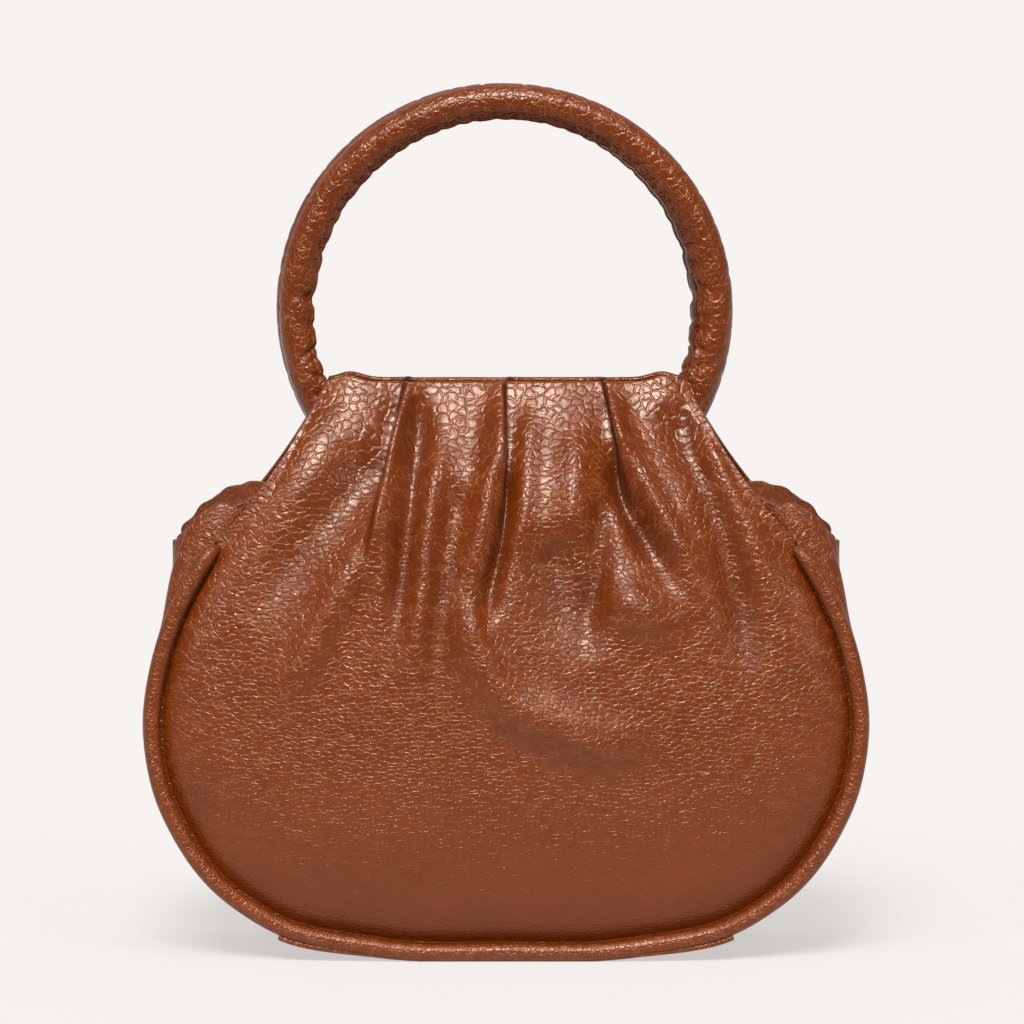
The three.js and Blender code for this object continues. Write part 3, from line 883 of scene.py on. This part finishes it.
def wrap_relief(length, turn, settings):
    """Height of the ring's wrap: puckers into the seam, the seam's gap and lip, cross wrinkles."""
    rng = np.random.RandomState(7)
    from_top = length / RING_RADIUS
    low_down = smooth(1.2, 2.2, np.abs(from_top))
    seam_turn = -math.pi + 0.5 * low_down
    apart = np.mod(turn - seam_turn + math.pi, 2 * math.pi) - math.pi
    from_seam = np.abs(apart) * RING_TUBE
    half_round = math.pi * RING_RADIUS
    pitch = settings.pucker_pitch / MM
    places = np.arange(-half_round, half_round, pitch)
    places = places + rng.uniform(-0.3, 0.3, len(places)) * pitch
    depths = rng.uniform(0.35, 1, len(places)) * settings.pucker_depth / MM
    lean = rng.uniform(-0.5, 0.5, len(places))
    reach = rng.uniform(4, 9, len(places))
    widths = rng.uniform(1.0, 2.1, len(places))
    height = np.zeros_like(length)
    for place, depth, tilt, far, width in zip(places, depths, lean, reach, widths):
        gathered = 0.45 + 0.55 * float(smooth(0.7, 1.9, abs(place) / RING_RADIUS))
        offset = length - place - tilt * np.abs(apart) * RING_TUBE
        height -= depth * gathered * bump(offset, width) * bump(from_seam, far)
    height += WRAP_SWELL * bump(from_seam, 4)
    height -= WRAP_GAP * bump(from_seam, 0.7)
    height += WRAP_LIP * bump(from_seam - 1.3, 0.6) * (apart > 0)
    for place in np.arange(-half_round, half_round, WRINKLE_PITCH):
        slant = rng.uniform(-0.6, 0.6) * turn * RING_TUBE
        offset = length - place - rng.uniform(-3, 3) - slant
        across = bump(turn - rng.uniform(-1.6, 1.6), rng.uniform(0.5, 1.1))
        height -= rng.uniform(0.12, 0.42) * bump(offset, rng.uniform(0.5, 1.1)) * across
    return height


class RINGBAG_OT_sleeves(bpy.types.Operator):
    """Makes the two sleeves that hold the rings behind the hems"""

    bl_idname = "ringbag.sleeves"
    bl_label = "Ring sleeves"

    def execute(self, context):
        angle = np.radians(np.linspace(-SLEEVE_ANGLE, SLEEVE_ANGLE, 101))[:, None]
        reach = RING_TUBE + RING_CLEARANCE + SLEEVE_WALL
        top = (RING_STAND + SLEEVE_HEM_DROP) / np.cos(angle)
        down = np.linspace(0, 1, 13)[:-1]
        turn = np.linspace(0, math.pi, 17)
        up = np.linspace(0, 1, 7)[1:]
        under = RING_RADIUS + reach * np.sin(turn)
        flap = mix(RING_RADIUS, RING_RADIUS - SLEEVE_FLAP, up)
        radial = np.hstack([
            mix(top, RING_RADIUS, down),
            np.broadcast_to(under, (len(angle), len(turn))),
            np.broadcast_to(flap, (len(angle), len(up))),
        ])
        depth = RING_DEPTH + np.concatenate([
            np.full(len(down), reach), reach * np.cos(turn), np.full(len(up), -reach),
        ])
        outer = np.stack([
            radial * np.sin(angle),
            -np.broadcast_to(depth, radial.shape),
            RING_HEIGHT - radial * np.cos(angle),
        ], axis=-1)[::-1]
        front = walled_sheet("front_ring_sleeve_leather", outer, SLEEVE_WALL, arc_grain(outer))
        back = turned_round(front, (BACK_RING_SHIFT, -BACK_RING_DROP))
        leather = bag_leather(context, "milled_panel_leather")
        dress(front, leather, "front_ring_sleeve")
        dress(back, leather, "back_ring_sleeve")
        return {"FINISHED"}


class RINGBAG_OT_base(bpy.types.Operator):
    """Makes the base panel"""

    bl_idname = "ringbag.base"
    bl_label = "Base"

    def execute(self, context):
        reach = BASE_HALF_LENGTH / SEAM_HALF_LENGTH
        share = spread(np.array([2 * BASE_HALF_LENGTH]), 160)[:, 0] * 2 * reach - reach
        depth = mix(-BASE_DEPTH, BASE_DEPTH, spread(np.array([2 * BASE_DEPTH]), 52)[:, 0])
        at_ends = smooth(0.4 * reach, reach, np.abs(share))
        line = seam_point(share, -mix(BASE_PROUD, BASE_END_PROUD, at_ends))
        line[:, 2] = np.maximum(line[:, 2], 0)
        outer = np.repeat(line[:, None, :], len(depth), axis=1)
        outer[..., 1] = depth
        base = walled_sheet("base_panel_leather", outer[:, ::-1], LEATHER_WALL, arc_grain(outer))
        dress(base, bag_leather(context, "milled_panel_leather"), "base_panel")
        return {"FINISHED"}


class RINGBAG_OT_gussets(bpy.types.Operator):
    """Makes the two gussets that fold inward at their hems"""

    bl_idname = "ringbag.gussets"
    bl_label = "Gussets"

    def execute(self, context):
        outer = gusset_points()
        left = walled_sheet("gusset_left_leather", outer, GUSSET_WALL, arc_grain(outer))
        right = mirrored(left, "gusset_right_leather")
        leather = bag_leather(context, "milled_panel_leather")
        dress(left, leather, "gusset_left")
        dress(right, leather, "gusset_right")
        return {"FINISHED"}


def gusset_points():
    """Outside of the left gusset, from the base up to its hem and from front to back."""
    table = np.array(GUSSET_ROWS, float)
    number = np.arange(len(table))
    place = np.linspace(0, len(table) - 1, 161)
    depth, top_depth, body, top, rise, power, roll = (
        read_profile(np.stack([number, column], axis=1), place) for column in table.T
    )
    t = spread(np.array([SEAM_HALF_LENGTH - BASE_HALF_LENGTH]), 110)[:, :1]
    start = (BASE_HALF_LENGTH - GUSSET_OVERLAP) / SEAM_HALF_LENGTH
    share = -mix(start, 1, t)
    up = np.clip((t - PUFF_START) / (1 - PUFF_START), 0, 1) ** power
    under_base = BASE_PROUD - LEATHER_WALL - SEWN_GAP
    out = mix(under_base, body * GUSSET_PUFF, smooth(0, GUSSET_LIFT, t))
    out = out + GUSSET_ROLL * roll * smooth(*ROLL_FROM, t) * (1 - smooth(*ROLL_TO, t))
    gathers = np.sin(GUSSET_SEAM_DEPTH * depth * 2 * math.pi / GATHER_PITCH)
    gathers = gathers * (0.6 + 0.4 * np.sin(5 * depth))
    gathered = smooth(*GATHER_FROM, t) * smooth(*GATHER_ENDS, np.abs(depth))
    out = out + GATHER_RISE * gathers * gathered
    points = seam_point(share, 0) + seam_out(share) * out[..., None]
    points[..., 0] -= top * GUSSET_PUFF * up
    points[..., 2] += rise * GUSSET_RISE * up
    points[..., 1] = GUSSET_SEAM_DEPTH * mix(depth, top_depth, up)
    return points


class RINGBAG_OT_stage(bpy.types.Operator):
    """Makes the floor, the soft light and the camera"""

    bl_idname = "ringbag.stage"
    bl_label = "Stage"

    def execute(self, context):
        mesh_builder = bmesh.new()
        bmesh.ops.create_grid(mesh_builder, x_segments=1, y_segments=1, size=FLOOR_HALF_WIDTH)
        floor = finished("floor", mesh_builder)
        floor.data.materials.append(studio_paper())

        context.scene.world = studio_surround()
        for name, strength, spread_angle, direction in SOFTBOXES:
            light = bpy.data.lights.new(name, "SUN")
            light.energy = strength
            light.angle = math.radians(spread_angle)
            lamp = bpy.data.objects.new(name, light)
            lamp.rotation_euler = Vector(direction).to_track_quat("Z", "Y").to_euler()
            context.collection.objects.link(lamp)

        camera_data = bpy.data.cameras.new("camera")
        camera_data.sensor_width = 36
        camera_data.lens = CAMERA_LENS
        camera_data.clip_end = 200
        camera = bpy.data.objects.new("camera", camera_data)
        elevation = math.radians(CAMERA_ELEVATION)
        toward = Vector((0, -math.cos(elevation), math.sin(elevation)))
        camera.location = Vector(CAMERA_AIM) * MM + toward * CAMERA_DISTANCE
        camera.rotation_euler = toward.to_track_quat("Z", "Y").to_euler()
        context.collection.objects.link(camera)
        context.scene.camera = camera
        context.scene.view_settings.view_transform = "Standard"
        return {"FINISHED"}


def studio_paper():
    """Matt white paper that glows as if lit from below, so that shadows stay faint; toward
    the camera it falls off into the dark, so that it doesn't shine up at the bag's front.
    """
    paper = bpy.data.materials.new("matt_studio_paper")
    paper.use_nodes = True
    tree = paper.node_tree
    tree.nodes.clear()
    place = add_node(tree, "ShaderNodeTexCoord").outputs["Object"]
    parts = add_node(tree, "ShaderNodeSeparateXYZ", Vector=place)
    lit = stepped(tree, parts.outputs["Y"], -0.5, -0.2, 0.05, 1.0)
    white = blended(tree, lit, (0.02, 0.02, 0.02, 1), (*linear("#868483"), 1))
    shader = add_node(
        tree, "ShaderNodeBsdfPrincipled", Base_Color=white, Roughness=1.0, Specular_IOR_Level=0.0,
        Emission_Color=white, Emission_Strength=2.4,
    )
    add_node(tree, "ShaderNodeOutputMaterial", Surface=shader.outputs[0])
    return paper


def studio_surround():
    """White studio walls behind and beside the bag, and a dark room in front of it."""
    world = bpy.data.worlds.new("studio_surround")
    world.use_nodes = True
    tree = world.node_tree
    tree.nodes.clear()
    direction = add_node(tree, "ShaderNodeTexCoord").outputs["Generated"]
    parts = add_node(tree, "ShaderNodeSeparateXYZ", Vector=direction)
    strength = stepped(tree, parts.outputs["Y"], -0.3, 0.8, 0.02, 0.5)
    glow = add_node(tree, "ShaderNodeBackground", Color=(1, 0.985, 0.97, 1), Strength=strength)
    add_node(tree, "ShaderNodeOutputWorld", Surface=glow.outputs[0])
    return world


class RINGBAG_PT_panel(bpy.types.Panel):
    """Lists the bag's pieces and its settings"""

    bl_idname = "RINGBAG_PT_panel"
    bl_label = "Ring Handle Bag"
    bl_space_type = "VIEW_3D"
    bl_region_type = "UI"
    bl_category = "Ring Bag"

    def draw(self, context):
        for key in RingBagSettings.__annotations__:
            self.layout.prop(bag_settings(context), key)
        for operator in OPERATORS:
            self.layout.operator(operator.bl_idname)


OPERATORS = (
    RINGBAG_OT_panels,
    RINGBAG_OT_piping,
    RINGBAG_OT_rings,
    RINGBAG_OT_sleeves,
    RINGBAG_OT_base,
    RINGBAG_OT_gussets,
    RINGBAG_OT_stage,
)


def register():
    for item in (RingBagSettings, *OPERATORS, RINGBAG_PT_panel):
        bpy.utils.register_class(item)
    bpy.types.Scene.ring_bag = bpy.props.PointerProperty(type=RingBagSettings)


def unregister():
    del bpy.types.Scene.ring_bag
    for item in reversed((RingBagSettings, *OPERATORS, RINGBAG_PT_panel)):
        bpy.utils.unregister_class(item)


def main():
    register()
    for step in ("panels", "piping", "rings", "sleeves", "base", "gussets", "stage"):
        getattr(bpy.ops.ringbag, step)()


if __name__ == "__main__":
    main()
